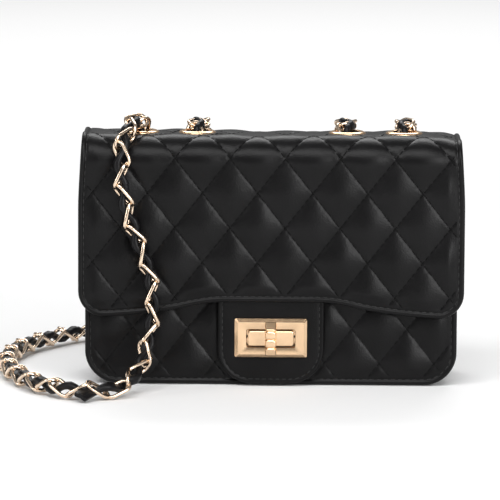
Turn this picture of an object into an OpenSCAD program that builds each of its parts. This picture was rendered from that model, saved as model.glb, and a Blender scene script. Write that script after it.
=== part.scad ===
// Crossbody purse: a quilted flap bag with a turn lock on its tongue and a chain strap.
// The origin is under the middle of the bag, on the surface it stands on. +X is the bag's
// right as its front is looked at, +Y is towards its back and +Z is up.

/* [Bag] */
// Width of the body across its front panel
body_w = 203; // [190:1:230]
// Depth of the body from the front panel's face to the back panel's face
body_d = 58; // [52:1:76]
// Height of the closed bag
bag_h = 135; // [130:1:150]
// Radius of the two lower corners
corner_r = 18; // [12:1:26]
// Thickness of a quilted panel: leather, padding and backing cloth
panel_t = 4; // [3:0.5:5]
// Thickness of the side gussets and the bottom
gusset_t = 2; // [1.6:0.2:3]
// How far the rims of the front and back panels stand out beyond the gussets
rim_step = 2; // [1:0.5:3]
// Width of the turned edge round the front and back panels
rim_w = 3; // [2:0.5:4]
// Thickness of every lining
lining_t = 0.8; // [0.6:0.1:1.2]
// Thickness of the stiff board in the bottom
board_t = 1.6; // [1:0.2:2.4]

/* [Flap] */
// Width of the flap
flap_w = 210; // [200:1:236]
// Thickness of the flap's quilted leather
flap_t = 3; // [2.5:0.5:4]
// Outer radius of the rolls over the front and the back of the top
roll_r = 14; // [12:0.5:16]
// Height of the flap's lower edge near its corners
flap_low = 38; // [34:1:44]
// Height of the flap's lower edge over the tongue
flap_arch = 46.5; // [45:0.5:52]
// Radius of the flap's two lower corners
flap_corner_r = 14; // [10:1:18]
// How far the flap swings open, in degrees
flap_open = 0; // [0:5:120]

/* [Tongue and turn lock] */
// Width of the tongue
tongue_w = 58; // [54:1:64]
// Thickness of the tongue's leather
tongue_t = 2; // [1.6:0.2:2.4]
// Height of the lock's centre
lock_z = 26.6; // [25:0.2:28]
// Width of the plate on the tongue
plate_w = 39.5; // [38:0.5:42]
// Height of the plate on the tongue
plate_h = 21.4; // [20.4:0.2:22.4]
// Thickness of the plate on the tongue
plate_t = 2.8; // [2.4:0.1:3.2]
// Width of the window in the plate
window_w = 26.4; // [26:0.2:28]
// Height of the window in the plate
window_h = 9.7; // [9.4:0.1:10.4]
// Length of the turn knob
knob_l = 18.3; // [17:0.1:19]
// Width of the turn knob
knob_w = 6.1; // [5.6:0.1:6.6]
// Thickness of the turn knob
knob_t = 4.5; // [4:0.1:5]
// Diameter of the knob's shaft
shaft_d = 3.1; // [2.8:0.1:3.4]
// How far the knob is turned from locked, in degrees
knob_turn = 0; // [0:5:90]

/* [Strap and eyelets] */
// Width over the chain and the leather ribbon in it
strap_d = 10.5; // [10:0.1:10.8]
// Diameter of an eyelet's flange
eyelet_d = 20.4; // [19:0.2:21]
// Diameter of the hole through an eyelet
eyelet_bore = 11.8; // [11.6:0.1:12.4]
// Distance of the two outer eyelets from the middle of the bag
eyelet_outer_x = 72; // [70:1:76]
// Distance of the two inner eyelets from the middle of the bag
eyelet_inner_x = 41; // [38:1:44]

/* [Hidden] */

$fn = 96;
ROUND_FN = 32;
TUBE_SIDES = 10;
EPS = 0.01;

// Layers in front of the front panel, from the panel outwards
layer_gap = 0.4;
clinch_t = 0.6;
knob_gap = 0.9;
boss_proud = 0.4;
lock_stack = layer_gap + clinch_t + lining_t + tongue_t + plate_t + knob_gap + knob_t;

// Places along Y. The bag and its lock together are centred on the origin.
body_y = lock_stack / 2;
front_y = body_y - body_d / 2;
back_y = body_y + body_d / 2;
inner_front_y = front_y + panel_t;
inner_back_y = back_y - panel_t;
clinch_y = front_y - layer_gap;
tongue_lining_y = clinch_y - clinch_t;
tongue_back_y = tongue_lining_y - lining_t;
tongue_front_y = tongue_back_y - tongue_t;
flap_back_y = tongue_front_y - lining_t;
flap_front_y = flap_back_y - flap_t;
plate_front_y = tongue_front_y - plate_t;
boss_front_y = plate_front_y - boss_proud;
knob_back_y = plate_front_y - knob_gap;
knob_front_y = knob_back_y - knob_t;
roll_y = flap_front_y + roll_r;
fold_y = back_y - roll_r;
fold_t = flap_t + lining_t;
eyelet_y = 0;

// Places along Z
roll_z = bag_h - roll_r;
binding_h = 2.5;
panel_top = roll_z - binding_h;
tongue_bottom = 1;
tongue_top = 64;
tongue_r = 19;
lining_z = gusset_t + board_t;

// Places along X
gusset_x = body_w / 2 - rim_step;
lining_x = gusset_x - gusset_t;
fold_w = flap_w - 3;

// Axis of the flap's hinge, in the middle of the fold
hinge_y = fold_y + (roll_r - fold_t / 2) * cos(45);
hinge_z = roll_z + (roll_r - fold_t / 2) * sin(45);

// Lock base on the front panel
base_w = 34;
base_h = 15;
base_t = 1.2;
boss_w = 24.8;
boss_h = 8.2;
boss_r = 1.2;
shaft_clearance = 0.05;
clip_r = 3.2;
clip_t = 0.8;
clip_room_r = 5;
rivet_r = 1;
base_rivet_x = 13.5;
plate_rivet_x = 16.6;
plate_rivet_z = 7.6;
plate_bevel = 1.4;
knob_groove_r = 0.7;
knob_segments = 4;

// Flap's lower edge from the tongue outwards: distance from the middle, and height as a
// share of the rise from flap_low to flap_arch
EDGE_STEPS = [[28, 1], [38, 0.88], [53, 0.47], [72, 0.16]];

// Eyelets
eyelet_wall = 0.6;
eyelet_flange_t = 1.2;
washer_t = 0.8;

// Routes of the strap's middle line, from one end to the other
STRAP_FRONT = [
    [-72, 0, 133], [-72, 0, 137], [-72.5, -2.5, 142], [-74, -9, 144.5], [-76.5, -18, 143],
    [-79, -28, 138.5], [-81, -35, 130], [-81.5, -37, 120], [-80.5, -37, 108],
    [-77.5, -37, 96], [-73.5, -37, 84], [-69, -37, 72], [-65, -37, 59], [-64, -37.5, 46],
    [-65, -38.5, 33], [-68, -43, 20], [-73, -53, 10], [-81, -66, 5.6], [-93, -74, 5.4],
    [-108, -71, 5.4], [-122, -58, 5.4], [-134, -36, 5.4], [-143, -10, 5.4], [-147, 18, 5.4],
    [-145, 46, 5.4], [-138, 72, 5.4], [-125, 96, 5.4], [-108, 116, 5.4], [-86, 130, 5.4],
    [-60, 138, 5.4], [-33, 140, 5.4], [-6, 137, 5.4]
];
STRAP_REAR = [
    [72, 0, 133], [72, 0, 136.5], [72.2, 2, 141], [72.5, 8, 143], [73, 16, 143],
    [73.5, 26, 141], [74, 35, 135.5], [74.4, 40.2, 127.5], [74.5, 41, 117], [74, 41, 103],
    [73, 41, 87], [72, 41, 71], [71, 41.3, 54], [70, 42.5, 37], [68.5, 47, 22],
    [66, 57, 11], [62, 70, 5.8], [55, 85, 5.4], [45, 101, 5.4], [31, 117, 5.4],
    [14, 129, 5.4], [-6, 137, 5.4]
];
STRAP_SHORT = [
    [-41, 0, 133], [-41, 0, 136.5], [-41, 2, 141], [-40.8, 8, 143], [-40.4, 16, 143],
    [-40, 26, 141], [-39.6, 35, 135.5], [-39.2, 40.2, 127.5], [-38.8, 41, 117],
    [-37, 41, 104], [-33.5, 41, 92], [-26, 41, 81.5], [-14, 41, 75], [0, 41, 73],
    [14, 41, 75], [26, 41, 81.5], [33.5, 41, 92], [37, 41, 104], [38.8, 41, 117],
    [39.2, 40.2, 127.5], [39.6, 35, 135.5], [40, 26, 141], [40.4, 16, 143], [40.8, 8, 143],
    [41, 2, 141], [41, 0, 136.5], [41, 0, 133]
];
// Heading of the strap where its two long runs meet behind the bag
STRAP_MEETING = [0.97, -0.243, 0];
// Run under the flap between the two eyelets of one side, for the left side
STRAP_INNER = [
    [-72, 0, 133], [-72, 0, 129.5], [-70.6, 0, 126.2], [-66.5, 0, 124], [-56.5, 0, 123.4],
    [-46.5, 0, 124], [-42.4, 0, 126.2], [-41, 0, 129.5], [-41, 0, 133]
];

// ---- Helpers ----

function unit(v) = v / norm(v);

function heading(route, i) = unit(route[min(i + 1, len(route) - 1)] - route[max(i - 1, 0)]);

function across(v, t) = unit(v - (v * t) * t);

// Sideways direction at point i of a route, carried along it without twist
function carried(route, i) =
    across(i == 0 ? [1, 0.2, 0.1] : carried(route, i - 1), heading(route, i));

// Ends of a strap run are square to the eyelet's axis, so these headings are set
function end_heading(route, i, first, last) =
    i == 0 && first != undef ? first
    : i == len(route) - 1 && last != undef ? last
    : heading(route, i);

module tube(route, d, first = undef, last = undef) {
    count = len(route);
    points = [
        for (i = [0 : count - 1])
            let (t = end_heading(route, i, first, last), u = across(carried(route, i), t),
                v = cross(t, u))
            for (k = [0 : TUBE_SIDES - 1])
                let (a = 360 * k / TUBE_SIDES)
                route[i] + d / 2 * (cos(a) * u + sin(a) * v)
    ];
    walls = [
        for (i = [0 : count - 2])
            for (k = [0 : TUBE_SIDES - 1])
                let (next = (k + 1) % TUBE_SIDES, low = i * TUBE_SIDES)
                [low + k, low + TUBE_SIDES + k, low + TUBE_SIDES + next, low + next]
    ];
    start_cap = [for (k = [0 : TUBE_SIDES - 1]) k];
    end_cap = [for (k = [TUBE_SIDES - 1 : -1 : 0]) (count - 1) * TUBE_SIDES + k];
    polyhedron(points, concat([start_cap], walls, [end_cap]));
}

// Turns an outline drawn in X and Z into a sheet from y to y + t
module sheet_at(y, t) {
    translate([0, y + t, 0]) rotate([90, 0, 0]) linear_extrude(t) children();
}

// Turns a profile drawn in Y and Z into a bar of width w centred on X = 0
module bar_along_x(w) {
    translate([-w / 2, 0, 0]) rotate([90, 0, 90]) linear_extrude(w) children();
}

// Cylinder along Y from y to y + t, at x and z
module rod(x, z, r, y, t) {
    translate([x, y, z]) rotate([-90, 0, 0]) cylinder(h = t, r = r);
}

// Outline with square top corners and round lower corners, standing on z = low
module u_outline(w, low, top, r) {
    translate([-w / 2, low + r]) square([w, top - low - r]);
    translate([r - w / 2, low]) square([w - 2 * r, r + EPS]);
    for (side = [-1, 1]) translate([side * (w / 2 - r), low + r]) circle(r);
}

// Rectangle with round corners, centred
module round_rect(w, h, r) {
    square([w - 2 * r, h], center = true);
    square([w, h - 2 * r], center = true);
    for (sx = [-1, 1], sz = [-1, 1]) translate([sx * (w / 2 - r), sz * (h / 2 - r)]) circle(r);
}

// Quarter ring in Y and Z round the middle [y, z], over the front or the back of the top
module quarter_ring(y, z, outer, t, side) {
    translate([y, z]) intersection() {
        difference() {
            circle(outer);
            circle(outer - t);
        }
        translate([side > 0 ? 0 : -outer, 0]) square(outer);
    }
}

module at_lock() {
    translate([0, 0, lock_z]) children();
}

module at_hinge() {
    translate([0, hinge_y, hinge_z]) rotate([-flap_open, 0, 0])
        translate([0, -hinge_y, -hinge_z]) children();
}

module at_knob() {
    at_lock() rotate([0, knob_turn, 0]) children();
}

module at_eyelets() {
    for (x = [-eyelet_outer_x, -eyelet_inner_x, eyelet_inner_x, eyelet_outer_x])
        translate([x, eyelet_y, 0]) children();
}

// ---- Body ----

module panel_outline(top) {
    u_outline(body_w - 2 * rim_w, rim_w, top, corner_r - rim_w);
}

module rim_outline(top) {
    difference() {
        u_outline(body_w, 0, top, corner_r);
        u_outline(body_w - 2 * rim_w, rim_w, top + 1, corner_r - rim_w);
    }
}

module front_panel() {
    color("#1d1b1e") difference() {
        sheet_at(front_y, panel_t) panel_outline(panel_top);
        at_lock() sheet_at(front_y - EPS, base_t + EPS) round_rect(base_w, base_h, boss_r);
        rod(0, lock_z, clip_room_r, front_y, panel_t + EPS);
        for (side = [-1, 1])
            rod(side * base_rivet_x, lock_z, rivet_r, front_y, panel_t + EPS);
    }
}

module back_panel() {
    color("#1d1b1e") sheet_at(inner_back_y, panel_t) panel_outline(roll_z);
}

module front_rim() {
    color("#171518") sheet_at(front_y, panel_t) rim_outline(panel_top);
}

module back_rim() {
    color("#171518") sheet_at(inner_back_y, panel_t) rim_outline(roll_z);
}

// Side of the body above the round corner; side is -1 for left and 1 for right
module side_gusset(side) {
    x = side > 0 ? gusset_x - gusset_t : -gusset_x;
    color("#19171a") translate([x, inner_front_y, corner_r])
        cube([gusset_t, inner_back_y - inner_front_y, panel_top - corner_r]);
}

module bottom_panel() {
    color("#19171a") sheet_at(inner_front_y, inner_back_y - inner_front_y) intersection() {
        difference() {
            u_outline(2 * gusset_x, 0, corner_r + EPS, corner_r);
            u_outline(2 * lining_x, gusset_t, corner_r + 1, corner_r - gusset_t);
        }
        translate([-body_w, 0]) square([2 * body_w, corner_r]);
    }
}

module base_board() {
    color("#6d5b49") translate([-gusset_x + corner_r, inner_front_y + 1, gusset_t])
        cube([2 * (gusset_x - corner_r), inner_back_y - inner_front_y - 2, board_t]);
}

module gusset_lining() {
    color("#37302c") sheet_at(inner_front_y + lining_t, inner_back_y - inner_front_y - lining_t)
        difference() {
            u_outline(2 * lining_x, lining_z, panel_top, corner_r - gusset_t);
            u_outline(2 * (lining_x - lining_t), lining_z + lining_t, panel_top + EPS,
                corner_r - gusset_t - lining_t);
        }
}

// Lining behind the front or the back panel, from y to y + lining_t
module wall_lining(y) {
    color("#37302c") sheet_at(y, lining_t)
        u_outline(2 * (lining_x - lining_t), lining_z + lining_t, panel_top,
            corner_r - gusset_t - lining_t);
}

module slip_pocket() {
    pocket_w = 120;
    pocket_low = 45;
    pocket_top = 102;
    color("#3d3530") sheet_at(inner_back_y - 2 * lining_t, lining_t)
        u_outline(pocket_w, pocket_low, pocket_top, 8);
}

// Turned edge round the mouth, over the front and the two gussets
module mouth_binding() {
    inner_x = lining_x - lining_t;
    inner_y = inner_front_y + 2 * lining_t;
    color("#171518") translate([0, 0, panel_top]) difference() {
        translate([-gusset_x, front_y, 0]) cube([2 * gusset_x, inner_back_y - front_y, binding_h]);
        translate([-inner_x, inner_y, -EPS])
            cube([2 * inner_x, inner_back_y - inner_y + EPS, binding_h + 2 * EPS]);
    }
}

// Strip that joins the back panel to the flap and bends when the flap opens
module flap_fold() {
    color("#1d1b1e") bar_along_x(fold_w) quarter_ring(fold_y, roll_z, roll_r, fold_t, 1);
}

// ---- Lock on the front panel ----

module lock_base() {
    color("#e8c795") difference() {
        at_lock() union() {
            sheet_at(front_y, base_t) round_rect(base_w, base_h, boss_r);
            sheet_at(boss_front_y, front_y - boss_front_y + EPS)
                round_rect(boss_w, boss_h, boss_r);
        }
        rod(0, lock_z, shaft_d / 2 + shaft_clearance, boss_front_y - 1, 20);
        for (side = [-1, 1]) rod(side * base_rivet_x, lock_z, rivet_r, front_y - 1, 10);
    }
}

module lock_backing() {
    color("#c9b48c") difference() {
        at_lock() sheet_at(inner_front_y, lining_t) round_rect(base_w, base_h, boss_r);
        for (side = [-1, 1]) rod(side * base_rivet_x, lock_z, rivet_r, inner_front_y - 1, 5);
    }
}

module lock_rivets() {
    color("#c9b48c") for (side = [-1, 1])
        rod(side * base_rivet_x, lock_z, rivet_r, front_y, panel_t + lining_t);
}

// ---- Flap ----

// Half of the flap's lower edge, from the tongue out to the side, for side -1 or 1
function lower_edge(side, inset) = concat(
    [for (step = EDGE_STEPS) [side * step[0], flap_low + step[1] * (flap_arch - flap_low) + inset]],
    [for (a = [0 : 10 : 90])
        [side * (flap_w / 2 - flap_corner_r + (flap_corner_r - inset) * sin(a)),
            flap_low + flap_corner_r - (flap_corner_r - inset) * cos(a)]]
);

function turned(list) = [for (i = [len(list) - 1 : -1 : 0]) list[i]];

module flap_outline(inset) {
    top = bag_h + 1;
    polygon(concat(
        turned(lower_edge(-1, inset)), lower_edge(1, inset),
        [[flap_w / 2 - inset, top], [inset - flap_w / 2, top]]
    ));
}

// Side view of one layer of the flap, whose outer face lies depth under the flap's face
module flap_profile(depth, t) {
    translate([roll_y, bag_h - depth - t]) square([fold_y - roll_y, t]);
    quarter_ring(roll_y, roll_z, roll_r - depth, t, -1);
    translate([flap_front_y + depth, flap_low]) square([t, roll_z - flap_low]);
}

module flap_layer(depth, t, inset) {
    intersection() {
        bar_along_x(flap_w + 2) flap_profile(depth, t);
        sheet_at(flap_front_y - 1, body_d + 20) flap_outline(inset);
    }
}

module eyelet_holes() {
    at_eyelets() translate([0, 0, roll_z + 2])
        cylinder(h = roll_r, r = eyelet_bore / 2 + eyelet_wall);
}

module flap_leather() {
    color("#1d1b1e") at_hinge() difference() {
        flap_layer(0, flap_t, 0);
        eyelet_holes();
    }
}

module flap_lining() {
    color("#2b2624") at_hinge() difference() {
        flap_layer(flap_t, lining_t, 1.5);
        eyelet_holes();
    }
}

module tongue_layer(y, t) {
    difference() {
        sheet_at(y, t) u_outline(tongue_w, tongue_bottom, tongue_top, tongue_r);
        at_lock() sheet_at(y - 1, t + 2) round_rect(window_w + 0.4, window_h + 0.4, boss_r);
        plate_rivet_places(y - 1, t + 2);
    }
}

module plate_rivet_places(y, t) {
    for (sx = [-1, 1], sz = [-1, 1])
        rod(sx * plate_rivet_x, lock_z + sz * plate_rivet_z, rivet_r, y, t);
}

module tongue() {
    color("#1b191c") at_hinge() tongue_layer(tongue_front_y, tongue_t);
}

module tongue_lining() {
    color("#2b2624") at_hinge() tongue_layer(tongue_back_y, lining_t);
}

// ---- Lock on the tongue ----

module lock_plate() {
    color("#efcf9f") at_hinge() at_lock() difference() {
        hull() {
            sheet_at(tongue_front_y - plate_t / 2, plate_t / 2)
                round_rect(plate_w, plate_h, 1, $fn = ROUND_FN);
            sheet_at(plate_front_y, plate_t)
                round_rect(plate_w - 2 * plate_bevel, plate_h - 2 * plate_bevel, 1,
                    $fn = ROUND_FN);
        }
        sheet_at(plate_front_y - 1, plate_t + 2) round_rect(window_w, window_h, boss_r);
    }
}

module lock_plate_backing() {
    color("#c9b48c") at_hinge() difference() {
        at_lock() sheet_at(tongue_lining_y, clinch_t) difference() {
            round_rect(plate_w - 1, plate_h - 1, 1);
            round_rect(window_w + 0.4, window_h + 0.4, boss_r);
        }
        plate_rivet_places(tongue_lining_y - 1, clinch_t + 2);
    }
}

module lock_plate_rivets() {
    color("#c9b48c") at_hinge()
        plate_rivet_places(tongue_front_y, clinch_y - tongue_front_y);
}

// ---- Eyelets ----

module eyelet(x) {
    inner = eyelet_bore / 2;
    flange_w = eyelet_d / 2 - inner;
    washer_z = bag_h - fold_t - washer_t;
    color("#e3c08c") at_hinge() translate([x, eyelet_y, 0]) rotate_extrude() {
        translate([inner, bag_h]) square([flange_w - eyelet_wall, eyelet_flange_t]);
        translate([inner, bag_h]) square([flange_w, eyelet_flange_t / 2]);
        translate([inner, washer_z]) square([eyelet_wall, bag_h - washer_z + EPS]);
    }
}

module eyelet_washers() {
    color("#c9b48c") at_hinge() at_eyelets() translate([0, 0, bag_h - fold_t - washer_t])
        difference() {
            cylinder(h = washer_t, r = eyelet_d / 2 - 0.4);
            translate([0, 0, -1]) cylinder(h = 4, r = eyelet_bore / 2 + eyelet_wall);
        }
}

// ---- Turn knob ----

module turn_knob() {
    step = knob_l / knob_segments;
    color("#e8c795") at_knob() difference() {
        sheet_at(knob_front_y, knob_t) round_rect(knob_w, knob_l, 1);
        for (i = [1 : knob_segments - 1])
            translate([-knob_w, knob_front_y, i * step - knob_l / 2]) rotate([0, 90, 0])
                cylinder(h = 2 * knob_w, r = knob_groove_r);
        rod(0, 0, shaft_d / 2, knob_back_y - knob_t / 2, knob_t);
    }
}

module knob_shaft() {
    end_y = front_y + base_t + 2 * clip_t;
    start_y = knob_back_y - knob_t / 2;
    color("#c9b48c") at_knob() difference() {
        rod(0, 0, shaft_d / 2, start_y, end_y - start_y);
        clip_groove();
    }
}

module clip_groove() {
    difference() {
        rod(0, 0, shaft_d, front_y + base_t + 0.3, clip_t);
        rod(0, 0, shaft_d / 2 - 0.4, front_y + base_t, 2 * clip_t);
    }
}

module knob_clip() {
    color("#9a9a9a") at_knob() difference() {
        rod(0, 0, clip_r, front_y + base_t + 0.3, clip_t);
        rod(0, 0, shaft_d / 2 - 0.4, front_y + base_t, 2 * clip_t);
    }
}

// ---- Strap ----

module strap_run(route, last) {
    color("#3a2f28") tube(route, strap_d, [0, 0, 1], last);
}

module strap_inner(side) {
    color("#3a2f28") at_hinge() mirror([side > 0 ? 1 : 0, 0, 0])
        tube(STRAP_INNER, strap_d, [0, 0, -1], [0, 0, 1]);
}

front_panel();
back_panel();
side_gusset(-1);  // side_gusset_left
side_gusset(1);  // side_gusset_right
bottom_panel();
front_rim();
back_rim();
base_board();
wall_lining(inner_front_y + lining_t);  // front_lining
wall_lining(inner_back_y - lining_t);  // back_lining
gusset_lining();
slip_pocket();
mouth_binding();
flap_fold();
lock_base();
lock_backing();
lock_rivets();
flap_leather();
flap_lining();
tongue();
tongue_lining();
lock_plate();
lock_plate_backing();
lock_plate_rivets();
eyelet(-eyelet_outer_x);  // eyelet_left_outer
eyelet(-eyelet_inner_x);  // eyelet_left_inner
eyelet(eyelet_inner_x);  // eyelet_right_inner
eyelet(eyelet_outer_x);  // eyelet_right_outer
eyelet_washers();
strap_inner(-1);  // strap_inner_left
strap_inner(1);  // strap_inner_right
turn_knob();
knob_shaft();
knob_clip();
strap_run(STRAP_FRONT, STRAP_MEETING);  // strap_front
strap_run(STRAP_REAR, -STRAP_MEETING);  // strap_rear
strap_run(STRAP_SHORT, [0, 0, -1]);  // strap_short
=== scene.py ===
import math

import bmesh
import bpy
import numpy as np
from mathutils import Matrix, Vector


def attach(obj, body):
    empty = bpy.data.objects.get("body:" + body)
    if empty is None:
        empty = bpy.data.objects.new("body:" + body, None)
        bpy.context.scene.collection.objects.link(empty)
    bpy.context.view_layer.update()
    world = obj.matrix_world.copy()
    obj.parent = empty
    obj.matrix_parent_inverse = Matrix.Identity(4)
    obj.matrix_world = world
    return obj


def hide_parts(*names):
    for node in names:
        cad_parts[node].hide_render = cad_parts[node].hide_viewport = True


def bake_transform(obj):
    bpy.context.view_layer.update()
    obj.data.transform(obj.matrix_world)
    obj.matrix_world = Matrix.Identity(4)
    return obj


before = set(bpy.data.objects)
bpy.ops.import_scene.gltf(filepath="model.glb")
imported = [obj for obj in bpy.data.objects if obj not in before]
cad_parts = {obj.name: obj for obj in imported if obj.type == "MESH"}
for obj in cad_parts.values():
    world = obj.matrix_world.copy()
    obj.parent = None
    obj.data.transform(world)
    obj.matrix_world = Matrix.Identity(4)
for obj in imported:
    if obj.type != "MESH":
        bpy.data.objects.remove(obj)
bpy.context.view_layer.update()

# Lengths are millimetres unless a comment says metres; make_object turns them into metres
MM = 0.001


# ---- small helpers

def smoothstep(t):
    t = np.clip(t, 0, 1)
    return t * t * (3 - 2 * t)


def unit(v):
    v = np.asarray(v, float)
    return v / np.linalg.norm(v, axis=-1, keepdims=True)


def circle_angles(count):
    return np.linspace(0, 2 * math.pi, count, endpoint=False)


def squarish(angle, power):
    """Cosine and sine on a circle that is pressed towards a square; a lower power is squarer."""
    c, s = math.cos(angle), math.sin(angle)
    return math.copysign(abs(c) ** power, c), math.copysign(abs(s) ** power, s)


def distances(line):
    """How far along a line each of its points lies."""
    return np.concatenate([[0], np.cumsum(np.linalg.norm(np.diff(line, axis=0), axis=1))])


def read_along(array, along, s):
    """Rows of array at the distances s, where along says how far each row is."""
    return np.stack([np.interp(s, along, array[:, k]) for k in range(3)], axis=-1)


def tube_faces(rings, sides, closed=False):
    """Faces between rings of points, in a closed loop or with a cap on each end."""
    last = rings if closed else rings - 1
    faces = [(i * sides + k, i * sides + (k + 1) % sides,
              (i + 1) % rings * sides + (k + 1) % sides, (i + 1) % rings * sides + k)
             for i in range(last) for k in range(sides)]
    if not closed:
        faces.append(tuple(range(sides)))
        faces.append(tuple((rings - 1) * sides + k for k in range(sides)))
    return faces


def add_object(name, data):
    obj = bpy.data.objects.new(name, data)
    bpy.context.scene.collection.objects.link(obj)
    return obj


def make_object(name, points, faces, material):
    """A mesh object from points in millimetres."""
    mesh = bpy.data.meshes.new(name)
    mesh.from_pydata((np.asarray(points, float) * MM).tolist(), [], faces)
    mesh.validate()
    turned = bmesh.new()
    turned.from_mesh(mesh)
    bmesh.ops.recalc_face_normals(turned, faces=turned.faces)
    turned.to_mesh(mesh)
    turned.free()
    mesh.materials.append(material)
    mesh.polygons.foreach_set("use_smooth", [True] * len(mesh.polygons))
    return add_object(name, mesh)


# ---- camera

CAMERA_TARGET = Vector((-0.0119, 0.0, 0.0708))  # in metres, as are the next distance and width
CAMERA_DISTANCE = 2.5
CAMERA_AZIMUTH = math.radians(0.7)
CAMERA_ELEVATION = math.radians(8.5)
CAMERA_ROLL = math.radians(0.31)
FRAME_WIDTH_M = 0.2747  # width of the view at the target
SENSOR_MM = 36


def add_camera():
    az, el, roll = CAMERA_AZIMUTH, CAMERA_ELEVATION, CAMERA_ROLL
    ahead = Vector((-math.sin(az) * math.cos(el), math.cos(az) * math.cos(el), -math.sin(el)))
    right = ahead.cross(Vector((0, 0, 1))).normalized()
    up = right.cross(ahead)
    right, up = (
        right * math.cos(roll) + up * math.sin(roll),
        up * math.cos(roll) - right * math.sin(roll),
    )
    data = bpy.data.cameras.new("camera")
    data.sensor_width = SENSOR_MM
    data.lens = SENSOR_MM * CAMERA_DISTANCE / FRAME_WIDTH_M
    data.clip_end = 20
    camera = add_object("camera", data)
    rotation = Matrix((right, up, -ahead)).transposed().to_4x4()
    camera.matrix_world = Matrix.Translation(CAMERA_TARGET - ahead * CAMERA_DISTANCE) @ rotation
    bpy.context.scene.camera = camera


add_camera()


# ---- materials

class Nodes:
    """A node material under construction."""

    def __init__(self, name):
        self.material = bpy.data.materials.new(name)
        self.material.use_nodes = True
        self.tree = self.material.node_tree
        self.place = self.add("TexCoord", "Object")

    def fill(self, node, inputs):
        """Gives a node's inputs their values, or links them to other nodes' outputs."""
        for key, value in inputs.items():
            socket = node.inputs[key.replace("_", " ")]
            if isinstance(value, bpy.types.NodeSocket):
                self.tree.links.new(value, socket)
            else:
                socket.default_value = value

    def add(self, kind, output, **inputs):
        """Adds a node and returns one of its outputs."""
        node = self.tree.nodes.new("ShaderNode" + kind)
        self.fill(node, inputs)
        return node.outputs[output]

    def set(self, **inputs):
        self.fill(self.tree.nodes["Principled BSDF"], inputs)

    def noise(self, scale, detail=3.0, roughness=0.5, stretch=None):
        place = self.place
        if stretch:
            place = self.add("Mapping", "Vector", Vector=place, Scale=stretch)
        return self.add("TexNoise", "Fac", Vector=place, Scale=scale, Detail=detail,
                        Roughness=roughness)

    def cells(self, scale):
        far = self.add("TexVoronoi", "Distance", Vector=self.place, Scale=scale)
        far.node.feature = "SMOOTH_F1"
        self.fill(far.node, {"Smoothness": 0.6})  # only there with that feature
        return far

    def waves(self, scale, direction):
        height = self.add("TexWave", "Fac", Vector=self.place, Scale=scale, Distortion=0.6)
        height.node.bands_direction = direction
        return height

    def ramp(self, value, low, high):
        colour = self.add("ValToRGB", "Color", Fac=value)
        stops = colour.node.color_ramp.elements
        for stop, position, shade in zip(stops, (0.3, 0.7), (low, high)):
            stop.position = position
            stop.color = shade
        return colour

    def range(self, value, low, high):
        return self.add("MapRange", "Result", Value=value, To_Min=low, To_Max=high)

    def bump(self, value, depth, strength, **under):
        """A bump; under may give, as Normal, another bump that it lies on."""
        return self.add("Bump", "Normal", Height=value, Distance=depth, Strength=strength,
                        **under)


def grey(v, tint=(1, 1, 1)):
    return (v * tint[0], v * tint[1], v * tint[2], 1)


LEATHER_TINT = (1.04, 0.98, 1.06)


def leather(name, dark, light, gloss, crease, coat):
    m = Nodes(name)
    grain = m.bump(m.cells(1150), 0.00012, 0.55)
    fine = m.bump(m.noise(2600, 2), 0.00005, 0.4, Normal=grain)
    m.set(Base_Color=m.ramp(m.noise(38, 4), grey(dark, LEATHER_TINT), grey(light, LEATHER_TINT)),
          Roughness=m.range(m.noise(160, 3), gloss - 0.05, gloss + 0.07),
          Normal=m.bump(m.noise(210, 5, 0.6), 0.0006, crease, Normal=fine),
          Specular_IOR_Level=0.15, Coat_Weight=coat, Coat_Roughness=0.3)
    return m.material


def gold(name, colour, gloss, scratch):
    m = Nodes(name)
    warm = tuple(c * 0.86 for c in colour)
    m.set(Base_Color=m.ramp(m.noise(90, 3), (*warm, 1), (*colour, 1)),
          Roughness=m.range(m.noise(700, 4, 0.6, (1, 1, 0.25)), gloss - 0.04, gloss + 0.08),
          Normal=m.bump(m.noise(900, 4), 0.00004, scratch), Metallic=1.0)
    return m.material


def cloth(name, dark, light):
    m = Nodes(name)
    warp = m.bump(m.waves(900, "X"), 0.00012, 0.5)
    weft = m.bump(m.waves(900, "Z"), 0.00012, 0.5, Normal=warp)
    m.set(Base_Color=m.ramp(m.noise(60, 4), grey(dark), grey(light)), Roughness=0.85,
          Normal=m.bump(m.noise(55, 3), 0.0012, 0.25, Normal=weft),
          Sheen_Weight=0.3, Specular_IOR_Level=0.25)
    return m.material


def thread(name, dark, light):
    m = Nodes(name)
    m.set(Base_Color=m.ramp(m.noise(1800, 2), grey(dark), grey(light)), Roughness=0.6,
          Normal=m.bump(m.waves(1500, "DIAGONAL"), 0.0001, 0.6), Specular_IOR_Level=0.12)
    return m.material


def board():
    m = Nodes("stiff_board")
    m.set(Base_Color=m.ramp(m.noise(400, 5), (0.2, 0.15, 0.11, 1), (0.3, 0.24, 0.17, 1)),
          Roughness=0.8, Normal=m.bump(m.noise(1500, 3), 0.0001, 0.5))
    return m.material


QUILTED = leather("quilted_leather", 0.002, 0.0045, 0.36, 0.10, coat=0.06)
SMOOTH = leather("smooth_leather", 0.0015, 0.004, 0.4, 0.08, coat=0.03)
INNER = leather("lining_leather", 0.008, 0.014, 0.6, 0.12, coat=0.0)
RIBBON = leather("ribbon_leather", 0.0045, 0.008, 0.34, 0.16, coat=0.06)
LINING = cloth("lining_cloth", 0.012, 0.026)
GOLD = gold("gold_metal", (0.95, 0.66, 0.412), 0.2, 0.15)
CHAIN_GOLD = gold("chain_gold", (0.94, 0.74, 0.56), 0.17, 0.1)
STEEL = gold("plain_metal", (0.5, 0.48, 0.45), 0.36, 0.3)
THREAD = thread("black_thread", 0.001, 0.0025)
EDGE_THREAD = thread("edge_thread", 0.012, 0.055)
BOARD = board()


# ---- the bag's main sizes

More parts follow.
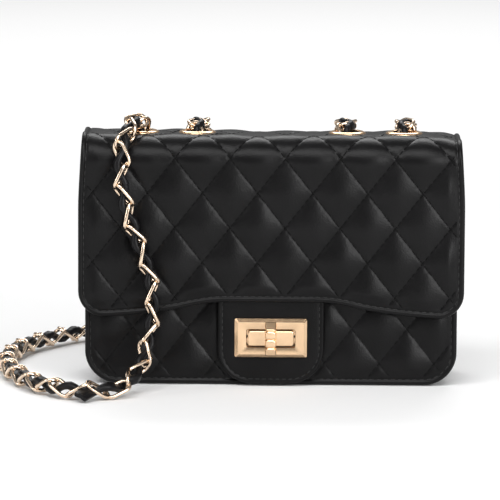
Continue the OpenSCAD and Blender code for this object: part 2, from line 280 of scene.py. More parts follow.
BODY_HALF = 101.5  # half the width of the front and back panels
FLAP_HALF = 105.0
TOP_HALF = 103.2  # the flap draws in a little where it rolls over the top
FRONT_Y = -23.0
FLAP_Y = -30.6
ROLL_R = 14.0
ROLL_Z = 121.0
FRONT_ROLL_Y = -16.6
FOLD_Y = 21.0
CORNER_R = 18.0
FLAP_CORNER_R = 14.0
FLAP_LOW = 38.0
FLAP_ARCH = 46.5
EDGE_STEPS_X = (0, 28, 38, 53, 72, 91)
EDGE_STEPS_RISE = (1, 1, 0.88, 0.47, 0.16, 0)
PANEL_TOP = 118.5
EYELETS_X = (-72.0, -41.0, 41.0, 72.0)
EYELET_HOLE_R = 6.9
FLANGE_R = 10.2
LOCK_Z = 26.6
SHELL_THICKNESS = 3.0
BACK_EXTRA_THICKNESS = 1.0
PANEL_THICKNESS = 4.0
LINING_THICKNESS = 0.8
FRONT_LINING_Y = -17.4
BACK_LINING_Y = 30.2
POCKET_Y = 29.4
TONGUE_Y = -26.8
TONGUE_LINING_Y = -24.0
GUSSET_HALF = 99.5
GUSSET_Y = (-19.4, 31.4)
GUSSET_CLOTH_Y = (-18.2, 31.0)
BINDING_Z = 119.75
BINDING_HALF_HEIGHT = 1.25
LINING_INSET = 1.5  # the flap's lining ends this far inside the leather's edge

# Outlines with round lower corners
PANEL = dict(half=BODY_HALF, low=0.0, radius=CORNER_R)
WALL_LINING = dict(half=96.7, low=4.4, radius=15.2)
POCKET = dict(half=60.0, low=45.0, radius=8.0)
POCKET_TOP = 102.0
TONGUE = dict(half=29.0, low=1.0, radius=19.0)
TONGUE_TOP = 64.0

# Seams run this far inside an edge
SEAM_INSET = 3.0
TONGUE_SEAM_INSET = 2.6
POCKET_SEAM_INSET = 1.8
SEAM_PITCH = 3.9
QUILT_MARGIN = 4.2  # the quilting's stitches stop this far inside an edge

# Distance over the flap's face from the floor line: front, roll, top, roll, back
S_ROLL = ROLL_Z
S_TOP = S_ROLL + ROLL_R * math.pi / 2
S_FOLD = S_TOP + FOLD_Y - FRONT_ROLL_Y
S_BACK = S_FOLD + ROLL_R * math.pi / 2
S_END = S_BACK + ROLL_Z
S_EYELET = S_TOP - FRONT_ROLL_Y

# Distances from an edge at which a sheet's grid lines run
EDGE_LINES = (0, 0.25, 0.7, 1.3, 2.0, 2.6, 3.0, 3.4, 4.0, 4.7)
GRID = 0.74


def grid_lines(length, first=True, last=True):
    """Places from 0 to length, closer together at the two ends."""
    near = EDGE_LINES if first else (0,)
    far = EDGE_LINES if last else (0,)
    inner = length - near[-1] - far[-1]
    count = max(int(round(inner / GRID)), 2)
    middle = near[-1] + np.linspace(0, inner, count + 1)[1:-1]
    return np.concatenate([near, middle, length - np.array(far[::-1])])


# ---- strap

# The strap's middle line, as it is routed in the CAD model, in metres
STRAP_FRONT = [
    (-0.072, 0, 0.133), (-0.072, 0, 0.137), (-0.0725, -0.0025, 0.142),
    (-0.074, -0.009, 0.1445), (-0.0765, -0.018, 0.143), (-0.079, -0.028, 0.1385),
    (-0.081, -0.035, 0.13), (-0.0815, -0.037, 0.12), (-0.0805, -0.037, 0.108),
    (-0.0775, -0.037, 0.096), (-0.0735, -0.037, 0.084), (-0.069, -0.037, 0.072),
    (-0.065, -0.037, 0.059), (-0.064, -0.0375, 0.046), (-0.065, -0.0385, 0.033),
    (-0.068, -0.043, 0.02), (-0.073, -0.053, 0.01), (-0.081, -0.066, 0.0056),
    (-0.093, -0.074, 0.0054), (-0.108, -0.071, 0.0054), (-0.122, -0.058, 0.0054),
    (-0.134, -0.036, 0.0054), (-0.143, -0.01, 0.0054), (-0.147, 0.018, 0.0054),
    (-0.145, 0.046, 0.0054), (-0.138, 0.072, 0.0054), (-0.125, 0.096, 0.0054),
    (-0.108, 0.116, 0.0054), (-0.086, 0.13, 0.0054), (-0.06, 0.138, 0.0054),
    (-0.033, 0.14, 0.0054), (-0.006, 0.137, 0.0054),
]
STRAP_REAR = [
    (0.072, 0, 0.133), (0.072, 0, 0.1365), (0.0722, 0.002, 0.141), (0.0725, 0.008, 0.143),
    (0.073, 0.016, 0.143), (0.0735, 0.026, 0.141), (0.074, 0.035, 0.1355),
    (0.0744, 0.0402, 0.1275), (0.0745, 0.041, 0.117), (0.074, 0.041, 0.103),
    (0.073, 0.041, 0.087), (0.072, 0.041, 0.071), (0.071, 0.0413, 0.054),
    (0.07, 0.0425, 0.037), (0.0685, 0.047, 0.022), (0.066, 0.057, 0.011),
    (0.062, 0.07, 0.0058), (0.055, 0.085, 0.0054), (0.045, 0.101, 0.0054),
    (0.031, 0.117, 0.0054), (0.014, 0.129, 0.0054), (-0.006, 0.137, 0.0054),
]
STRAP_SHORT = [
    (-0.041, 0, 0.133), (-0.041, 0, 0.1365), (-0.041, 0.002, 0.141), (-0.0408, 0.008, 0.143),
    (-0.0404, 0.016, 0.143), (-0.04, 0.026, 0.141), (-0.0396, 0.035, 0.1355),
    (-0.0392, 0.0402, 0.1275), (-0.0388, 0.041, 0.117), (-0.037, 0.041, 0.104),
    (-0.0335, 0.041, 0.092), (-0.026, 0.041, 0.0815), (-0.014, 0.041, 0.075),
    (0, 0.041, 0.073),
]
STRAP_SHORT += [(-x, y, z) for x, y, z in STRAP_SHORT[-2::-1]]
STRAP_INNER = [
    (-0.072, 0, 0.133), (-0.072, 0, 0.1295), (-0.0706, 0, 0.1262), (-0.0665, 0, 0.124),
    (-0.0565, 0, 0.1234), (-0.0465, 0, 0.124), (-0.0424, 0, 0.1262), (-0.041, 0, 0.1295),
    (-0.041, 0, 0.133),
]
WIRE = 1.9  # thickness of a link's wire
LINK_LENGTH = 16.6  # outside, along the link
LINK_WIDTH = 9.6  # outside, across the link
LINK_LEAN = 17.0  # each link leans this many degrees to one side, its neighbour to the other
HIGH_EXTRA_LEAN = 12.0  # added where the strap hangs near the flap's top
FLAT_LEAN = 62.0  # where the strap lies over the top and on the back, its links lie flatter
UNEVEN_LEAN = 7.0
JOINT_OFFSET = 3.1  # neighbouring links meet this far to one side of the middle line
RIBBON_OFFSET = 1.9  # the ribbon bulges this far to the other side
RIBBON_WIDTH = 6.0
RIBBON_THICKNESS = 4.3
LINK_PITCH = math.sqrt((LINK_LENGTH - 2 * WIRE) ** 2 - (2 * JOINT_OFFSET) ** 2)
STRAND_STEP = 0.5
END_FADE = 13.0  # the zigzag dies away over this length, inside an eyelet
SHORTEST_CORD = 66.0  # a little over six times the strap's width
SETTLE_FRONT = 1.5  # how much closer than the CAD tube the strap lies, over the front roll
SETTLE_BACK = 2.4  # behind the bag
SETTLE_TOP = 1.1  # and this much more on top


def settled(p):
    """The strap's links lie closer to the leather than the round tube of the CAD model."""
    y, z = p[:, 1], p[:, 2]
    over_front = SETTLE_FRONT * smoothstep((z - 135) / 5) * smoothstep((-y - 2) / 6)
    rear = smoothstep((y + 1) / 4) * smoothstep((z - 45) / 25)
    past_eyelet = smoothstep((z - 136) / 3 + (y > 8))
    amount = rear * (SETTLE_BACK + SETTLE_TOP * smoothstep((z - 136) / 5)) * past_eyelet
    up, out = np.maximum(z - ROLL_Z, 0), np.maximum(y - FOLD_Y, 0)
    reach = np.maximum(np.hypot(up, out), 1e-6)
    moved = p.copy()
    moved[:, 1] -= amount * out / reach
    moved[:, 2] -= amount * up / reach + over_front
    return moved


def smooth_path(points, step):
    """Points every step along a Catmull-Rom curve through the given points."""
    p = np.asarray(points, float) / MM
    padded = np.vstack([2 * p[0] - p[1], p, 2 * p[-1] - p[-2]])
    fine = []
    for i in range(1, len(padded) - 2):
        a, b, c, d = padded[i - 1:i + 3]
        t = np.linspace(0, 1, 24, endpoint=False)[:, None]
        fine.append(0.5 * (2 * b + (c - a) * t + (2 * a - 5 * b + 4 * c - d) * t ** 2
                           + (3 * b - a - 3 * c + d) * t ** 3))
    fine = settled(np.vstack(fine + [p[-1:]]))
    along = distances(fine)
    count = max(int(round(along[-1] / step)), 8)
    where = np.linspace(0, along[-1], count + 1)
    return read_along(fine, along, where), where


class Strand:
    """A run of the strap: places along it and directions across it.

    hand says to which side, 1 or -1, its first joint lies.
    """

    def __init__(self, points, side, hand=1):
        self.hand = hand
        self.points, self.along = smooth_path(points, STRAND_STEP)
        self.length = self.along[-1]
        self.ahead = unit(np.gradient(self.points, axis=0))
        sides = [unit(np.asarray(side, float) - np.dot(side, self.ahead[0]) * self.ahead[0])]
        for t in self.ahead[1:]:
            kept = sides[-1] - np.dot(sides[-1], t) * t
            sides.append(kept / np.linalg.norm(kept))
        self.side = np.array(sides)
        self.links = int(round(self.length / LINK_PITCH))
        self.pitch = self.length / self.links

    def twist_to(self, target, start, end):
        """Turns the sideways direction so that from end on it is target."""
        i = int(np.searchsorted(self.along, end))
        n, t = self.side[i], self.ahead[i]
        want = unit(np.asarray(target, float) - np.dot(target, t) * t)
        angle = math.atan2(np.dot(np.cross(n, want), t), np.dot(n, want))
        turn = angle * smoothstep((self.along - start) / (end - start))
        across = np.cross(self.ahead, self.side)
        self.side = self.side * np.cos(turn)[:, None] + across * np.sin(turn)[:, None]

    def at(self, s):
        """Place, heading, sideways and third direction at s."""
        t = unit(read_along(self.ahead, self.along, s))
        n = read_along(self.side, self.along, s)
        n = unit(n - np.sum(n * t, axis=-1, keepdims=True) * t)
        return read_along(self.points, self.along, s), t, n, np.cross(t, n)

    def fade(self, s):
        return smoothstep(np.minimum(s, self.length - s) / END_FADE + 0.15)

    def lean(self, k):
        """How far link k leans, in radians."""
        middle = self.at(np.array((k + 0.5) * self.pitch))[0]
        lying = smoothstep((middle[2] - 40) / 15) * smoothstep((middle[1] + 6) / 8)
        high = LINK_LEAN + HIGH_EXTRA_LEAN * smoothstep((middle[2] - 78) / 35)
        uneven = UNEVEN_LEAN * math.sin(k * 1.9)
        return math.radians(high + (FLAT_LEAN - high) * lying + uneven)

    def joint(self, k):
        s = k * self.pitch
        p, _, n, _ = self.at(np.array(s))
        return p + n * self.hand * JOINT_OFFSET * (-1) ** k * self.fade(s)


WIRE_SECTION = [squarish(a, 0.7) for a in circle_angles(10)]
RIBBON_SECTION = [(squarish(a, 0.8)[0],
                   math.sin(a) * (1 - 0.16 * math.exp(-((a - math.pi / 2) / 0.25) ** 2)))
                  for a in circle_angles(16)]


def link_mesh(start, end, side, third, lean):
    """Points and faces of one oval link that joins two places."""
    long_axis = unit(end - start)
    middle = (start + end) / 2
    across = math.cos(lean) * third + math.sin(lean) * side
    across = unit(across - np.dot(across, long_axis) * long_axis)
    normal = np.cross(long_axis, across)
    radius = (LINK_WIDTH - WIRE) / 2
    half = (np.linalg.norm(end - start) + WIRE) / 2 - radius
    arc = np.linspace(-math.pi / 2, math.pi / 2, 11)
    loop = [(half + radius * math.cos(a), radius * math.sin(a), math.cos(a), math.sin(a))
            for a in arc]
    loop += [(-x, -y, -cx, -cy) for x, y, cx, cy in loop]
    points = []
    for x, y, cx, cy in loop:
        for outward, up in WIRE_SECTION:
            reach = outward * WIRE / 2
            points.append(middle + long_axis * (x + cx * reach) + across * (y + cy * reach)
                          + normal * up * WIRE / 2)
    return points, tube_faces(len(loop), len(WIRE_SECTION), closed=True)


def chain_object(name, strand, first, last):
    """The strand's links from first up to last, as one mesh."""
    points, faces = [], []
    for k in range(first, last):
        _, _, n, b = strand.at(np.array((k + 0.5) * strand.pitch))
        lean = strand.hand * (strand.lean(k) if k % 2 else -strand.lean(k))
        new_points, new_faces = link_mesh(strand.joint(k), strand.joint(k + 1), n, b, lean)
        base = len(points)
        points += new_points
        faces += [tuple(base + i for i in face) for face in new_faces]
    return make_object(name, points, faces, CHAIN_GOLD)


def ribbon_object(name, strand, start, end):
    """The leather ribbon between two distances along a strand, woven opposite to the joints."""
    s = np.linspace(start, end, max(int((end - start) / 0.8), 8))
    p, _, n, _ = strand.at(s)
    sway = strand.hand * np.cos(math.pi * s / strand.pitch)
    middle = p - n * (RIBBON_OFFSET * sway * strand.fade(s))[:, None]
    ahead = unit(np.gradient(middle, axis=0))
    flat = unit(np.cross(ahead, n))
    thick = np.cross(flat, ahead)
    swell = np.abs(sway) ** 1.3
    half_w = RIBBON_WIDTH / 2 * (0.84 + 0.16 * swell)
    half_t = RIBBON_THICKNESS / 2 * (0.82 + 0.18 * swell)
    half_t = half_t * (1 + 0.06 * np.sin(s * 2.1 + 0.7 * np.sin(s * 0.53)))
    points = [middle[i] + flat[i] * half_w[i] * c + thick[i] * half_t[i] * d
              for i in range(len(s)) for c, d in RIBBON_SECTION]
    return make_object(name, points, tube_faces(len(s), len(RIBBON_SECTION)), RIBBON)


def strap_run(name, strand, start, end, node, blend=None, extra=()):
    """Chain and ribbon between two distances along a strand."""
    first, last = int(round(start / strand.pitch)), int(round(end / strand.pitch))
    chain = chain_object("chain_" + name, strand, first, last)
    ribbon = ribbon_object("ribbon_" + name, strand, start, end)
    inside = (strand.along >= start - 1e-6) & (strand.along <= end + 1e-6)
    path = strand.points[inside][::2] * MM
    if name == "rear":
        path = path[::-1]
    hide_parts(node)
    for piece in (chain, ribbon):
        if blend:
            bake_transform(piece)
        else:
            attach(piece, "bag")
    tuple(path[0])


def ribbon_end():
    """The cut end of the ribbon, which sticks out of the strap where it lies on the floor."""
    pieces = []
    for name, shift, turn in (("ribbon_end", 0.0, 0.0), ("ribbon_end_under", 3.2, 0.5)):
        loops = []
        for t in np.linspace(0, 1, 9):
            centre = np.array([-96.5 - 5.5 * t + shift * (1 - 0.4 * t), -73.0 - 9.5 * t,
                               6.4 - 2.6 * t - 1.1 * (turn > 0)])
            along = unit(np.array([-5.5 - 1.3 * (turn > 0), -9.5, -2.0]))
            flat = unit(np.cross(along, (0.25 + turn, 0, 1)))
            thick = np.cross(flat, along)
            corners = [squarish(a, 0.5) for a in circle_angles(20)]
            loops.append([centre + flat * 2.7 * c + thick * 1.25 * d for c, d in corners])
        end = lofted(name, loops, RIBBON, angle=50)
        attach(end, "bag")
        pieces.append(end)
    return pieces


# Places in metres, one pair for each blended run; strap_run only checks that a pair is given, and
# then bakes the run's transforms instead of attaching its pieces to the bag
TOP_BLEND = ((0, -0.0375, 0), (0, -0.001, 0))
REAR_BLEND = ((0, 0.036, 0.112), (0, 0.012, 0.1375))


def turn_links(run):
    """Links zigzag sideways in front, up and down on the floor, and sideways again behind."""
    height = run.points[:, 2]
    run.twist_to((1, 0.3, 0), 14, 42)
    near_floor = run.along[np.argmax(height < 15)]
    on_floor = run.along[np.argmax(height < 5.8)]
    run.twist_to((0, 0, 1), near_floor, on_floor + 20)
    off_floor = run.along[-1 - np.argmax(height[::-1] < 12)]
    run.twist_to((1, 0, 0), off_floor, off_floor + 45)


def inner_run(label, mirror):
    """The short piece of strap under the flap between two eyelets."""
    inner = Strand([(x * mirror, y, z) for x, y, z in STRAP_INNER], (0, 1, 0))
    chain = chain_object("chain_" + label, inner, 0, inner.links)
    ribbon = ribbon_object("ribbon_" + label, inner, 0, inner.length)
    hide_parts("strap_inner_" + label)
    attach(chain, "flap")
    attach(ribbon, "flap")


def build_strap():
    long_run = Strand(STRAP_FRONT + STRAP_REAR[-2::-1], (1, 0, 0), hand=-1)
    turn_links(long_run)
    p = long_run.pitch
    below_roll = (long_run.points[:, 1] < -30) & (long_run.points[:, 2] < 125)
    front = long_run.along[np.argmax(below_roll)]
    cut = max(math.ceil(front / p), math.ceil(SHORTEST_CORD / p)) * p
    meeting = round(smooth_path(STRAP_FRONT, STRAND_STEP)[1][-1] / p) * p
    strap_run("top", long_run, 0, cut, "strap_front", TOP_BLEND)
    strap_run("front", long_run, cut, meeting, "strap_front", extra=ribbon_end())
    strap_run("rear", long_run, meeting, long_run.length, "strap_rear", REAR_BLEND)
    short_run = Strand(STRAP_SHORT, (1, 0, 0))
    strap_run("short", short_run, 0, short_run.length, "strap_short", REAR_BLEND)
    inner_run("left", 1)
    inner_run("right", -1)


# ---- quilting

QUILT_X = 29.9  # width of a diamond
QUILT_S = 38.05  # height of a diamond
QUILT_GAP = QUILT_X * QUILT_S / math.hypot(QUILT_X, QUILT_S)  # between parallel lines
QUILT_SIDE = math.hypot(QUILT_X, QUILT_S) / 2
STITCH_PITCH = QUILT_SIDE / 6.5
FLAP_LATTICE = (7.45, 87.3)  # one crossing of the flap's lines
PANEL_LATTICE = (44.3, 31.0)  # one crossing of the front panel's lines
SIZE_SPREAD = 0.13  # how much the diamonds' padding differs
LEAN_SPREAD = 0.10  # how much a diamond's padding leans to one side
PUCKER = 0.06
CREASE = 0.07
LINE_DEPTH = 0.22
CROWN = 2.2  # how far the leather bulges over the front roll
FLAP_LOW_PAD, FLAP_PAD_RISE, TOP_PAD_LOSS = -1.15, 2.3, 1.35
BACK_LOW_PAD, BACK_PAD_RISE = -1.05, 1.95
PANEL_LOW_PAD, PANEL_PAD_RISE, PANEL_OPEN_PAD = -0.95, 1.2, 1.1
WAVE_DEPTH = 0.12


def pillow(t):
    """Height across a diamond, from 0 through 1 to 0."""
    return np.clip(1 - np.abs(2 * t - 1) ** 1.9, 0, 1)


def scatter(a, b, seed):
    """A repeatable number from -1 to 1 for each diamond."""
    v = np.sin(a * 12.9898 + b * 78.233 + seed * 37.719) * 43758.5453
    return 2 * (v - np.floor(v)) - 1


def quilt(x, s, lattice):
    """Height of the padding from 0 to 1, distance to the nearest line, and its puckers."""
    a = (x - lattice[0]) / QUILT_X + (s - lattice[1]) / QUILT_S
    b = (x - lattice[0]) / QUILT_X - (s - lattice[1]) / QUILT_S
    ia, ib = np.floor(a), np.floor(b)
    ta, tb = a - ia, b - ib
    size = 1 + SIZE_SPREAD * scatter(ia, ib, 1)
    lean = LEAN_SPREAD * (scatter(ia, ib, 2) * (ta - 0.5) + scatter(ia, ib, 3) * (tb - 0.5))
    far_a = np.minimum(ta, 1 - ta) * QUILT_GAP
    far_b = np.minimum(tb, 1 - tb) * QUILT_GAP
    steep = (1 - np.exp(-far_a / 0.75)) * (1 - np.exp(-far_b / 0.75))
    high = 0.05 * steep + 0.95 * pillow(ta) * pillow(tb) * (size + lean)
    turns = 2 * math.pi * QUILT_SIDE / STITCH_PITCH
    pucker = np.sin(turns * b) * np.exp(-far_a / 1.9) + np.sin(turns * a) * np.exp(-far_b / 1.9)
    crease = (np.sin(a * 17 + 3 * scatter(ia, ib, 4)) * np.exp(-far_b / 4.5)
              + np.sin(b * 15 + 3 * scatter(ia, ib, 5)) * np.exp(-far_a / 4.5))
    return high, np.minimum(far_a, far_b), pucker * PUCKER + crease * CREASE


def quilted_offset(x, s, lattice, edge, low, rise):
    """How far the leather stands out from its plain face."""
    high, far, ripple = quilt(x, s, lattice)
    inside = smoothstep((edge - SEAM_INSET) / 6.5)
    line = -LINE_DEPTH * np.exp(-(far / 0.6) ** 2) * smoothstep((edge - SEAM_INSET) / 1.5)
    base = low + 0.35 * (1 - inside)
    padded = base + rise * high * inside + line + ripple * inside
    return padded + border(edge, SEAM_INSET)


def border(edge, seam, lip=0.5, groove=0.5):
    """The turned edge outside a seam, the seam's groove and the rounding of the rim."""
    rim = lip * smoothstep((seam - edge) / 0.9) * smoothstep(edge / 0.9 + 0.3)
    sunk = -groove * np.exp(-((edge - seam) / 0.6) ** 2)
    t = np.clip(1 - edge / 1.3, 0, 1)
    rounding = -1.1 * (1 - np.sqrt(1 - np.minimum(t, 1) ** 2))
    return rim + sunk + rounding


def waves_over(x, s):
    """Slow unevenness of hand-finished leather."""
    return WAVE_DEPTH * (np.sin(x * 0.043 + 1.3) * np.sin(s * 0.061 + 0.4)
                         + 0.6 * np.sin(x * 0.101 + s * 0.037)
                         + 0.4 * np.sin(x * 0.031 - s * 0.12))


# ---- closed sheets

def closed_sheet(name, outer, inner, material, keep=None):
    """A closed sheet between two grids of points with the same rows and columns."""
    rows, cols = outer.shape[:2]
    count = rows * cols
    if keep is None:
        keep = np.ones((rows - 1, cols - 1), bool)
    index = np.arange(count).reshape(rows, cols)
    i, j = np.nonzero(keep)
    a, b, c, d = index[i, j], index[i, j + 1], index[i + 1, j + 1], index[i + 1, j]
    faces = [np.stack([a, b, c, d], 1), np.stack([d, c, b, a], 1) + count]
    framed = np.pad(keep, 1)
    for di, dj, p, q in ((-1, 0, a, b), (0, 1, b, c), (1, 0, c, d), (0, -1, d, a)):
        bare = ~framed[i + 1 + di, j + 1 + dj]
        faces.append(np.stack([q[bare], p[bare], p[bare] + count, q[bare] + count], 1))
    faces = np.concatenate(faces)
    points = np.concatenate([outer.reshape(-1, 3), inner.reshape(-1, 3)])
    used, renumbered = np.unique(faces, return_inverse=True)
    return make_object(name, points[used], renumbered.reshape(-1, 4).tolist(), material)


# A stitch's rings: place along its half length, thickness and height
STITCH_RINGS = ((-1, 0.3, -0.22), (-0.72, 0.95, 0.0), (0, 1.08, 0.06), (0.72, 0.95, 0.0),
                (1, 0.3, -0.22))
STITCH_SIDES = 6


def stitch_points(line, normal, pitch, sunk, wide, length):
    """Points of the stitches laid end to end on one line."""
    along = distances(line)
    count = int(along[-1] / pitch)
    middles = (np.arange(count) + 0.5) * along[-1] / max(count, 1)
    half = pitch * length / 2
    ahead = unit(read_along(line, along, middles + half) - read_along(line, along, middles - half))
    up = read_along(normal, along, middles)
    up = unit(up - np.sum(up * ahead, 1, keepdims=True) * ahead)
    side = np.cross(ahead, up)
    points = np.empty((count, len(STITCH_RINGS), STITCH_SIDES, 3))
    for m, (place, thick, lift) in enumerate(STITCH_RINGS):
        at = read_along(line, along, middles + place * half) + up * (lift - sunk)
        for k, a in enumerate(circle_angles(STITCH_SIDES)):
            points[:, m, k] = at + (side * math.cos(a) + up * math.sin(a)) * (wide / 2 * thick)
    return points.reshape(-1, 3)


def stitches(name, lines, material, pitch, sunk, wide, length=0.76):
    """Threads along lines, each given as its points and the directions that they face."""
    points = np.concatenate([stitch_points(line, normal, pitch, sunk, wide, length)
                             for line, normal in lines if len(line) > 1])
    one = tube_faces(len(STITCH_RINGS), STITCH_SIDES)
    size = len(STITCH_RINGS) * STITCH_SIDES
    faces = [tuple(start + i for i in face)
             for start in range(0, len(points), size) for face in one]
    return make_object(name, points, faces, material)


# ---- quilted shell

def flap_edge(x):
    """Height of the flap's lower edge."""
    a = np.abs(x)
    fine = np.interp(a, EDGE_STEPS_X, EDGE_STEPS_RISE)
    soft = sum(np.interp(np.abs(a + d), EDGE_STEPS_X, EDGE_STEPS_RISE) for d in (-5, -2.5, 2.5, 5))
    z = FLAP_LOW + (fine + soft) / 5 * (FLAP_ARCH - FLAP_LOW)
    return z + quarter(a - (FLAP_HALF - FLAP_CORNER_R), FLAP_CORNER_R)


def quarter(into, radius):
    """How far a round corner draws in, at into past its start."""
    return radius - np.sqrt(radius ** 2 - np.clip(into, 0, radius) ** 2)


def shell_half(s):
    """Half the width of the shell at s."""
    drawn = (FLAP_HALF - TOP_HALF) * smoothstep((s - 96) / 44)
    narrow = (TOP_HALF - BODY_HALF) * smoothstep((s - S_FOLD) / 18)
    return FLAP_HALF - drawn - narrow - quarter(CORNER_R - (S_END - s), CORNER_R)


def shell_section(s):
    """Place in Y and Z and outward direction of the shell's face at s."""
    a = np.clip((s - S_ROLL) / ROLL_R, 0, math.pi / 2)
    b = np.clip((s - S_FOLD) / ROLL_R, 0, math.pi / 2)
    y = FLAP_Y + ROLL_R * (1 - np.cos(a)) + np.clip(s - S_TOP, 0, S_FOLD - S_TOP)
    y = y + ROLL_R * np.sin(b)
    z = np.minimum(s, S_ROLL) + ROLL_R * np.sin(a) - ROLL_R * (1 - np.cos(b))
    z = z - np.clip(s - S_BACK, 0, None)
    turn = a + b
    return y, z, -np.cos(turn), np.sin(turn)


def shell_edge_distance(x, s):
    """Distance to the edge of the flap in front and to the edge of the back panel behind."""
    a = np.abs(x)
    side = shell_half(np.clip(s, 0, S_END - CORNER_R)) - a
    low = s - flap_edge(x)
    front = np.minimum(side, low)
    corner_x = FLAP_HALF - FLAP_CORNER_R
    corner_z = FLAP_LOW + FLAP_CORNER_R
    in_corner = (a > corner_x) & (s < corner_z)
    front = np.where(in_corner, FLAP_CORNER_R - np.hypot(a - corner_x, s - corner_z), front)
    z = S_END - s
    back = np.minimum(side, z)
    in_corner = (a > BODY_HALF - CORNER_R) & (z < CORNER_R)
    away = CORNER_R - np.hypot(a - BODY_HALF + CORNER_R, z - CORNER_R)
    back = np.where(in_corner, away, back)
    return np.clip(np.where(s < (S_TOP + S_FOLD) / 2, front, back), 0, None)


def eyelet_distance(x, s):
    return np.min([np.hypot(x - e, s - S_EYELET) for e in EYELETS_X], axis=0)


def shell_points(x, s, out):
    """Points that lie out from the shell's plain face, or under it when out is negative."""
    y, z, ny, nz = shell_section(s)
    over = smoothstep((s - 112) / 30) * smoothstep((S_BACK - s) / 30)
    lift = 1.1 * smoothstep((-x - 82) / 20) - 1.7 * smoothstep((x - 82) / 20)
    settle = -0.35 * np.cos(x * 0.055) * smoothstep(1 - np.abs(x) / 36)
    return np.stack([x + 0 * s, y + ny * out, z + nz * out + (lift + settle) * over], -1)


def shell_offset(x, s):
    """How far the padded leather stands out from the shell's plain face."""
    edge = shell_edge_distance(x, s)
    flat = smoothstep((eyelet_distance(x, s) - FLANGE_R - 0.3) / 5.5)
    on_back = smoothstep((s - S_BACK) / 10)
    on_top = smoothstep((s - S_TOP + 36) / 38) * smoothstep((S_FOLD + 20 - s) / 14)
    settled_top = 1 - 0.55 * smoothstep((s - S_TOP + 1) / 9)
    crown = CROWN * smoothstep((s - 108) / 26) * settled_top * smoothstep((S_FOLD + 4 - s) / 14)
    rise = FLAP_PAD_RISE - TOP_PAD_LOSS * on_top
    front = quilted_offset(x, s, FLAP_LATTICE, edge, FLAP_LOW_PAD, rise)
    back = quilted_offset(x, s, FLAP_LATTICE, edge, BACK_LOW_PAD, BACK_PAD_RISE)
    soft = front * (1 - on_back) + back * on_back
    soft = soft + waves_over(x, s) * smoothstep((edge - 2) / 6)
    return soft * flat - 0.06 * (1 - flat) + crown


def shell_surface(x, s):
    """Points on the leather's face and the direction that it faces."""
    _, _, ny, nz = shell_section(s)
    return shell_points(x, s, shell_offset(x, s)), np.stack([0 * x, ny, nz], -1)


def shell_grid():
    """Columns and rows of the shell as x and s."""
    across = grid_lines(2 * FLAP_HALF) - FLAP_HALF
    low = flap_edge(across)
    front = grid_lines(S_ROLL - FLAP_LOW, last=False) / (S_ROLL - FLAP_LOW)
    rear = S_ROLL + grid_lines(S_END - S_ROLL, first=False)[1:]
    s_front = low[None, :] + (S_ROLL - low[None, :]) * front[:, None]
    s = np.concatenate([s_front, np.repeat(rear[:, None], len(across), 1)])
    x = across[None, :] / FLAP_HALF * shell_half(s)
    return x, s


def cell_middles(grid):
    return (grid[:-1, :-1] + grid[1:, 1:]) / 2


def outside_eyelets(x, s):
    """Which cells of a grid lie outside the eyelets' holes."""
    return eyelet_distance(cell_middles(x), cell_middles(s)) > EYELET_HOLE_R


def quilted_shell():
    """Flap, fold and back panel, cut from one quilted piece."""
    x, s = shell_grid()
    outer = shell_points(x, s, shell_offset(x, s))
    thick = SHELL_THICKNESS + BACK_EXTRA_THICKNESS * smoothstep((s - S_BACK - 2.5) / 3)
    inner = shell_points(x, s, -thick)
    shell = closed_sheet("quilted_shell", outer, inner, QUILTED, outside_eyelets(x, s))
    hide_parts("flap_leather", "flap_fold", "back_panel", "back_rim")
    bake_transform(shell)


def quilt_lines(lattice, x_range, s_range, wanted):
    """Lines of places (x, s) along the quilting that lie where wanted says."""
    lines = []
    step = 0.8
    for lean in (1, -1):
        reach = (x_range[1] - x_range[0]) / QUILT_X + (s_range[1] - s_range[0]) / QUILT_S + 4
        for n in range(-int(reach), int(reach) + 1):
            x = np.arange(x_range[0], x_range[1], step * QUILT_X / 2 / QUILT_SIDE)
            s = lattice[1] + lean * (n - (x - lattice[0]) / QUILT_X) * QUILT_S
            good = (s > s_range[0]) & (s < s_range[1])
            good[good] = wanted(x[good], s[good])
            edges = np.flatnonzero(np.diff(np.concatenate([[0], good.astype(int), [0]])))
            for first, last in zip(edges[::2], edges[1::2]):
                if last - first > 6:
                    lines.append((x[first:last], s[first:last]))
    return lines


def shell_border(inset):
    """The closed line at inset from the shell's edge."""
    side_low = FLAP_LOW + FLAP_CORNER_R
    x = np.linspace(0, FLAP_HALF - FLAP_CORNER_R, 110)
    front = [(x, flap_edge(x) + inset)]
    a = np.linspace(0, math.pi / 2, 24)
    r = FLAP_CORNER_R - inset
    front.append((FLAP_HALF - FLAP_CORNER_R + r * np.sin(a), side_low - r * np.cos(a)))
    s = np.linspace(side_low, S_END - CORNER_R, 330)
    front.append((shell_half(s) - inset, s))
    r = CORNER_R - inset
    front.append((BODY_HALF - CORNER_R + r * np.cos(a), S_END - CORNER_R + r * np.sin(a)))
    x = np.linspace(BODY_HALF - CORNER_R, 0, 90)
    front.append((x, 0 * x + S_END - inset))
    right = np.concatenate([np.stack(part, 1) for part in front])
    left = right[::-1] * (-1, 1)
    return np.concatenate([right, left])


def shell_threads():
    """The stitches of the quilting and of the edge seam."""
    def wanted(x, s):
        inside = shell_edge_distance(x, s) > QUILT_MARGIN
        return inside & (eyelet_distance(x, s) > FLANGE_R + 0.8)

    lines = quilt_lines(FLAP_LATTICE, (-FLAP_HALF, FLAP_HALF), (FLAP_LOW, S_END), wanted)
    quilting = stitches("shell_quilting", [shell_surface(*line) for line in lines],
                        THREAD, STITCH_PITCH, sunk=0.02, wide=0.75, length=0.97)
    edge = shell_border(SEAM_INSET)
    seam = stitches("shell_seam", [shell_surface(edge[:, 0], edge[:, 1])],
                    EDGE_THREAD, SEAM_PITCH, sunk=0.05, wide=0.55)
    for piece in (quilting, seam):
        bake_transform(piece)


# ---- upright sheets

